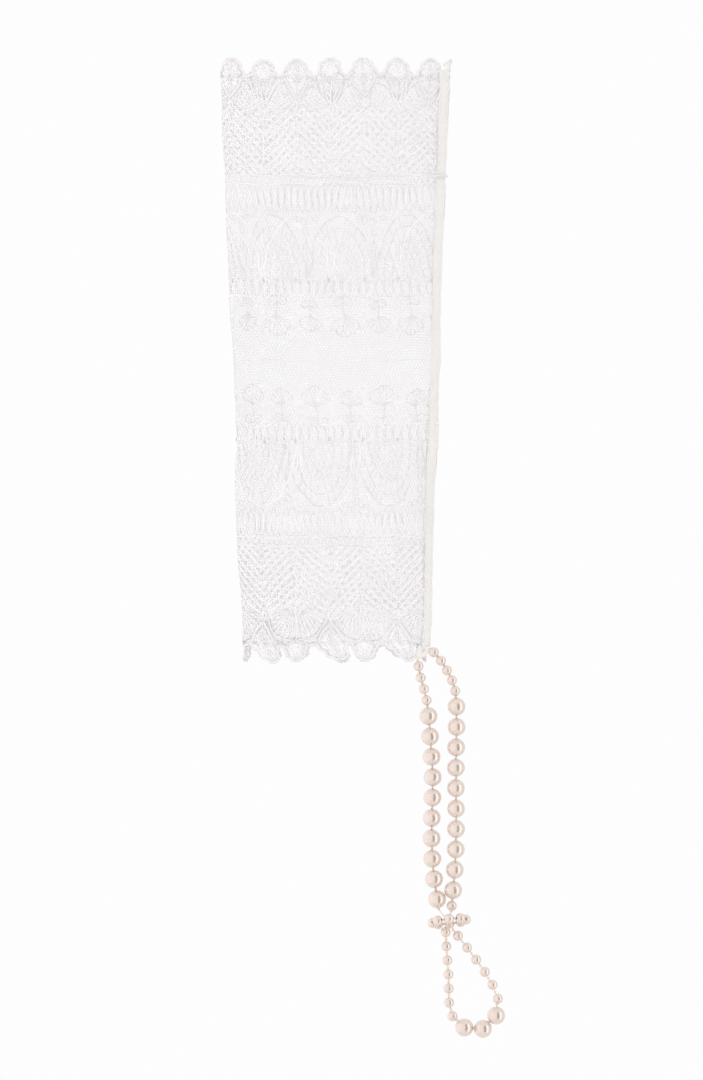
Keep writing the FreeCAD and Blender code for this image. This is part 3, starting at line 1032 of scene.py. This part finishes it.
def any_normal(axis):
    """A direction square to the axis."""
    axis = np.asarray(axis, float) / np.linalg.norm(axis)
    helper = np.array([0.0, -1.0, 0.0]) if abs(axis[1]) < 0.9 else np.array([1.0, 0.0, 0.0])
    normal = helper - axis * (helper @ axis)
    return normal / np.linalg.norm(normal)


def twisted_cord(threads, start, end, phase=0.0, radius=CORD_RADIUS):
    """Two plies that wind round each other from start to end."""
    start, end = np.asarray(start, float), np.asarray(end, float)
    length = np.linalg.norm(end - start)
    axis = (end - start) / length
    normal = any_normal(axis)
    side = np.cross(axis, normal)
    point_pitch, lay_length = 0.18, 1.1
    t = np.linspace(0, 1, max(4, int(length / point_pitch)))
    turn = t * length / lay_length * 2 * math.pi + phase
    for ply in (0, math.pi):
        out = (np.cos(turn + ply)[:, None] * normal + np.sin(turn + ply)[:, None] * side)
        points = start + (end - start) * t[:, None] + out * radius * 0.45
        threads.add(points, out, radius * 0.58, radius * 0.58)


def overhand_knot(threads, centre, axis, size):
    """A pulled-tight knot: a trefoil of cord squashed along the string."""
    centre = np.asarray(centre, float)
    axis = np.asarray(axis, float) / np.linalg.norm(axis)
    normal = any_normal(axis)
    side = np.cross(axis, normal)
    count = 36
    t = np.arange(count) * 2 * math.pi / count
    flat_u = (np.sin(t) + 2 * np.sin(2 * t)) / 3
    flat_v = (np.cos(t) - 2 * np.cos(2 * t)) / 3
    rise = -np.sin(3 * t)
    reach = size - KNOT_TUBE
    points = (centre + (flat_u * reach)[:, None] * normal + (flat_v * reach)[:, None] * side
              + (rise * size * 0.42)[:, None] * axis)
    normals = points - centre
    normals /= np.linalg.norm(normals, axis=1)[:, None] + 1e-9
    threads.add(points, normals, KNOT_TUBE * 1.25, KNOT_TUBE * 1.25, closed=True)


def string_knots(nodes):
    """Centres, radii and knot points of a string. A pearl is halfway between its two knots."""
    centres = [np.array(node_centre(n)) for n in nodes]
    radii = [max(node_size(n)) / 2 for n in nodes]
    knots = []
    for (c0, r0), (c1, r1) in zip(zip(centres, radii), zip(centres[1:], radii[1:])):
        knots.append(c0 + (c1 - c0) * r0 / (r0 + r1))
    knots.insert(0, 2 * centres[0] - knots[0])
    knots.append(2 * centres[-1] - knots[-1])
    return centres, radii, knots


LARGE_MESH = pearl_mesh("pearl_large", LARGE_PEARL)
SMALL_MESH = pearl_mesh("pearl_small", SMALL_PEARL)


def build_string(name, knot_size):
    """A string's pearls, each with its stretch of cord and the knot below it. Returns the knot points."""
    nodes = sorted(n for n in frame["nodes"] if n.startswith(f"{name}_pearl_"))
    centres, radii, knots = string_knots(nodes)
    for k, node in enumerate(nodes):
        mesh = LARGE_MESH if 2 * radii[k] > (LARGE_PEARL + SMALL_PEARL) / 2 else SMALL_MESH
        spin = k * 2.4
        axis = knots[k + 1] - knots[k]
        pearl = place_pearl(f"{node}_nacre", mesh, centres[k], axis, spin)
        dress(pearl, BODY_OF[node], "pearl", node)
        threads = Threads()
        twisted_cord(threads, knots[k], knots[k + 1], spin)
        overhand_knot(threads, knots[k + 1], axis, knot_size)
        dress(threads.build(f"{node}_cord", SILK), BODY_OF[node], "silk_cord")
    return knots


def single_cord(name, body, path, knots, *nodes):
    """Cord along a path, with a knot at each (point, axis) in knots."""
    threads = Threads()
    for a, b in zip(path, path[1:]):
        twisted_cord(threads, a, b)
    for point, axis in knots:
        overhand_knot(threads, point, axis, TAIL_KNOT)
    dress(threads.build(name, SILK), body, "silk_cord", *nodes)


def loose_centres(node):
    """Centres of the separate solids of a node, found by walking its mesh."""
    pts = np.round(node_points(node), 3)
    _, same = np.unique(pts, axis=0, return_inverse=True)
    same = np.asarray(same).ravel()
    parent = list(range(same.max() + 1))

    def root(i):
        while parent[i] != i:
            parent[i] = parent[parent[i]]
            i = parent[i]
        return i

    for polygon in frame["nodes"][node].data.polygons:
        ids = [root(same[v]) for v in polygon.vertices]
        for other in ids[1:]:
            parent[other] = ids[0]
    groups = {}
    for index, shared in enumerate(same):
        groups.setdefault(root(shared), []).append(index)
    return [(pts[g].min(0) + pts[g].max(0)) / 2 for g in groups.values()]


def build_keeper_ring():
    """Small pearls on a ring of cord, with a knot between each and the next."""
    centres = np.array(loose_centres("keeper_ring_pearls"))
    middle = centres.mean(0)
    order = np.argsort(np.arctan2(centres[:, 1] - middle[1], centres[:, 0] - middle[0]))
    centres = centres[order]
    threads = Threads()
    count = len(centres)
    for k in range(count):
        before, here, after = centres[k - 1], centres[k], centres[(k + 1) % count]
        axis = after - before
        pearl = place_pearl(f"keeper_pearl_{k + 1}", SMALL_MESH, here, axis, k * 1.9)
        dress(pearl, "keeper", "pearl", *(["keeper_ring_pearls"] if k == 0 else []))
        twisted_cord(threads, here, after, k, KEEPER_CORD_RADIUS)
        overhand_knot(threads, (here + after) / 2, after - here, KEEPER_KNOT)
    dress(threads.build("keeper_thread", SILK), "keeper", "silk_cord", "keeper_ring_thread")


def build_drop():
    """Both strands, the finger loop and the cords that tie them to the tab and to the joining knot."""
    left = build_string("left", STRAND_KNOT)
    right = build_string("right", STRAND_KNOT)
    loop = build_string("loop", LOOP_KNOT)
    joint = np.array(node_centre("joining_knot"))
    tab_middle = np.array(node_centre("anchor_tab"))
    single_cord("tab_cord", "tab", [left[0], tab_middle, right[0]],
                [(left[0], left[1] - left[0]), (right[0], right[1] - right[0])], "strand_cord")
    single_cord("left_tail", "joining", [left[-1], joint], [])
    single_cord("right_tail", "joining", [right[-1], joint], [])
    single_cord("loop_heads", "loop_top", [loop[0], joint, loop[-1]],
                [(loop[0], loop[1] - loop[0])], "loop_cord")
    threads = Threads()
    for turn in (0.0, 1.1, 2.1):
        axis = (math.sin(turn) * 0.5, math.cos(turn) * 0.5, 1.0)
        overhand_knot(threads, joint, axis, JOINING_KNOT)
    dress(threads.build("joining_knot_cord", SILK), "joining", "silk_cord", "joining_knot")


# ==== stage, light and camera

FLOOR_GAP = 0.022            # metres from the part's low end down to the floor
FLOOR_REACH = 6.0
WHITE = 0.985                # brightness of the floor and the background to the camera


def pale_floor():
    """A pale floor that shines white to the camera, so that it meets the background without a line."""
    low = CAD_BOUNDS[0].z - FLOOR_GAP
    mesh = bpy.data.meshes.new("floor")
    corners = [(x * FLOOR_REACH, y * FLOOR_REACH, low) for x, y in ((-1, -1), (1, -1), (1, 1), (-1, 1))]
    mesh.from_pydata(corners, [], [(0, 1, 2, 3)])
    floor = add_object("floor", mesh)
    material, tree, shader = new_material("pale_floor")
    tone = ramp(tree, noise(tree, 3.0), [(0.3, 0.93), (0.7, 0.95)])
    tree.links.new(tone, shader.inputs["Base Color"])
    shader.inputs["Roughness"].default_value = 0.9
    glow = tree.nodes.new("ShaderNodeEmission")
    glow.inputs["Strength"].default_value = WHITE
    clear = tree.nodes.new("ShaderNodeBsdfTransparent")
    path = tree.nodes.new("ShaderNodeLightPath")
    # The pearls mirror the softboxes, not the floor.
    unseen = mixed(tree, path.outputs["Is Glossy Ray"], shader.outputs["BSDF"], clear.outputs["BSDF"])
    shown = mixed(tree, path.outputs["Is Camera Ray"], unseen, glow.outputs["Emission"])
    tree.links.new(shown, tree.nodes["Material Output"].inputs["Surface"])
    mesh.materials.append(material)


def background(tree, strength, colour=None):
    """White light, or that of a colour output."""
    node = tree.nodes.new("ShaderNodeBackground")
    set_inputs(node, {"Color": (1.0, 1.0, 1.0, 1.0), "Strength": strength})
    if colour:
        tree.links.new(colour, node.inputs["Color"])
    return node.outputs["Background"]


def studio_world():
    """White to the camera and soft all round to matt surfaces. Glossy ones see softboxes with a dark gap."""
    world = bpy.data.worlds.new("studio")
    bpy.context.scene.world = world
    world.use_nodes = True
    tree = world.node_tree
    tree.nodes.clear()
    where = tree.nodes.new("ShaderNodeTexCoord")
    split = tree.nodes.new("ShaderNodeSeparateXYZ")
    tree.links.new(where.outputs["Generated"], split.inputs["Vector"])
    towards_camera = computed(tree, "MULTIPLY", split.outputs["Y"], -1.0)
    turn = computed(tree, "ARCTAN2", split.outputs["X"], towards_camera)
    share = tree.nodes.new("ShaderNodeMapRange")
    set_inputs(share, {"From Min": -math.pi, "From Max": math.pi})
    tree.links.new(turn, share.inputs["Value"])
    boxes = ramp(tree, share.outputs["Result"], [
        (0.0, 0.5), (0.22, (0.72, 0.70, 0.72)), (0.40, (0.68, 0.66, 0.67)), (0.515, 0.6),
        (0.546, 0.08), (0.622, 0.04), (0.636, 1.0), (0.705, 1.0),
        (0.735, 0.48), (1.0, 0.5)])
    height = computed(tree, "ABSOLUTE", split.outputs["Z"])
    room = tree.nodes.new("ShaderNodeMixRGB")
    tree.links.new(ramp(tree, height, [(0.58, 0.0), (0.76, 1.0)]), room.inputs["Fac"])
    tree.links.new(boxes, room.inputs["Color1"])
    room.inputs["Color2"].default_value = (0.56, 0.55, 0.54, 1.0)
    side = ramp(tree, share.outputs["Result"], [
        (0.0, 1.06), (0.42, 1.22), (0.6, 1.08), (0.75, 1.0), (1.0, 1.06)])
    soft = background(tree, 1.0, side)
    glossy = background(tree, 1.5, room.outputs["Color"])
    path = tree.nodes.new("ShaderNodeLightPath")
    lit = mixed(tree, path.outputs["Is Glossy Ray"], soft, glossy)
    seen = mixed(tree, path.outputs["Is Camera Ray"], lit, background(tree, WHITE))
    output = tree.nodes.new("ShaderNodeOutputWorld")
    tree.links.new(seen, output.inputs["Surface"])


def front_camera():
    """Straight on to the front face through a long lens."""
    frame_height, distance, shift_x, shift_z = 0.4212, 3.2, -0.004, 0.0032
    middle = (CAD_BOUNDS[0] + CAD_BOUNDS[1]) / 2
    camera = bpy.data.cameras.new("camera")
    camera.sensor_fit = "VERTICAL"
    camera.sensor_height = 36.0
    camera.lens = camera.sensor_height * distance / frame_height
    camera.clip_end = 30.0
    holder = add_object("camera", camera)
    holder.location = (middle.x + shift_x, -distance, middle.z + shift_z)
    holder.rotation_euler = (math.radians(90), 0, 0)
    bpy.context.scene.camera = holder


for build in (build_lace, build_tape, build_seam_stitches, build_bar_tack, build_tab, build_tab_stitches,
              build_drop, build_keeper_ring, pale_floor, studio_world, front_camera):
    build()
bpy.context.scene.view_settings.view_transform = "Standard"
